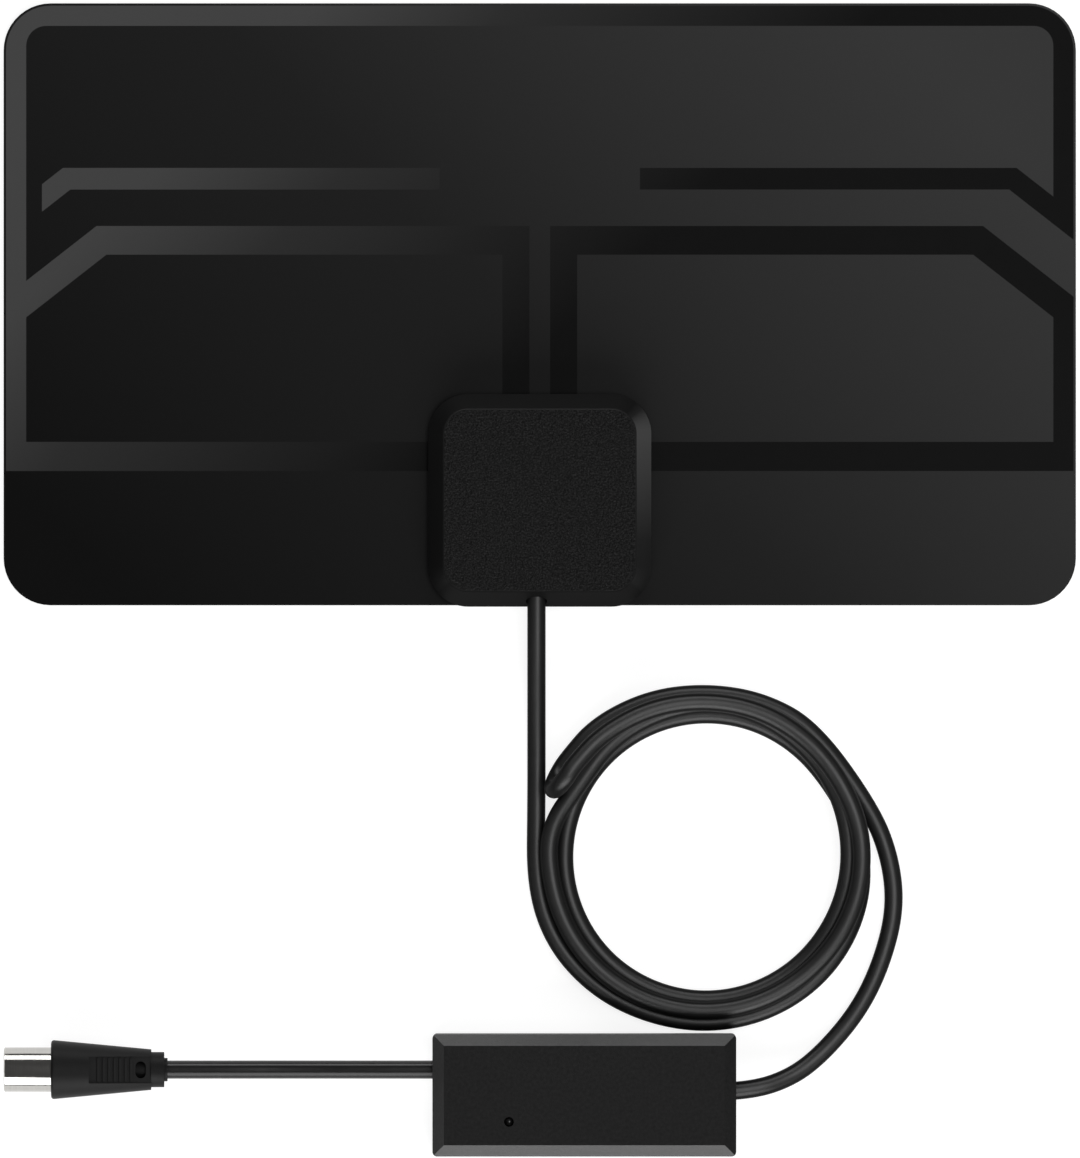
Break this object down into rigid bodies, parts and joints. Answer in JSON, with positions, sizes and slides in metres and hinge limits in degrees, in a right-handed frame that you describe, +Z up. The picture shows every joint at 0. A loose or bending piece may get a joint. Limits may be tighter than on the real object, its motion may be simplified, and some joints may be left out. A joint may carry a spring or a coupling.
{
  "type": "flat indoor television antenna",
  "caption": "Flat indoor television antenna: a black film panel with foil conductors, a feed box, a coiled lead, an in-line amplifier and a coaxial plug.",
  "frame": {"origin": "on the surface it lies on, under the middle of the panel and feed box together", "axes": "+X to the right along the panel's long side, +Y towards its upper edge, +Z up out of its face"},
  "size_m": [0.228, 0.2449, 0.014],
  "materials": {
    "film": "satin film",
    "foil": "satin lacquer",
    "box_plastic": "fine pebble",
    "amp_plastic": "fine texture",
    "jacket": "satin",
    "plug_plastic": "matt",
    "nickel": "bright plating",
    "brass": "plain",
    "steel": "plain",
    "insulator": "plain",
    "board": "solder mask",
    "ferrite": "matt",
    "lens": "clear"
  },
  "bodies": {
    "root": {"film_panel": "film", "left_radiator": "foil", "right_radiator": "foil", "upper_left_bar": "foil", "box_front_cover": "box_plastic", "box_back_cover": "box_plastic", "matching_board": "board", "left_contact": "brass", "right_contact": "brass", "balun_core": "ferrite", "cable_crimp": "brass", "box_screw_1": "steel", "box_screw_2": "steel", "box_screw_3": "steel", "box_screw_4": "steel", "feed_cable": "jacket", "cable_coil": "jacket", "tail_cable": "jacket", "plug_cable": "jacket", "amp_top_cover": "amp_plastic", "amp_bottom_cover": "amp_plastic", "amp_board": "board", "amp_chip": "plug_plastic", "power_led": "lens", "dc_jack": "plug_plastic", "dc_jack_pin": "nickel", "amp_screw_1": "steel", "amp_screw_2": "steel", "plug_hood": "plug_plastic", "plug_core": "plug_plastic", "plug_shell": "nickel", "plug_insulator": "insulator", "plug_pin": "nickel"}
  },
  "joints": []
}
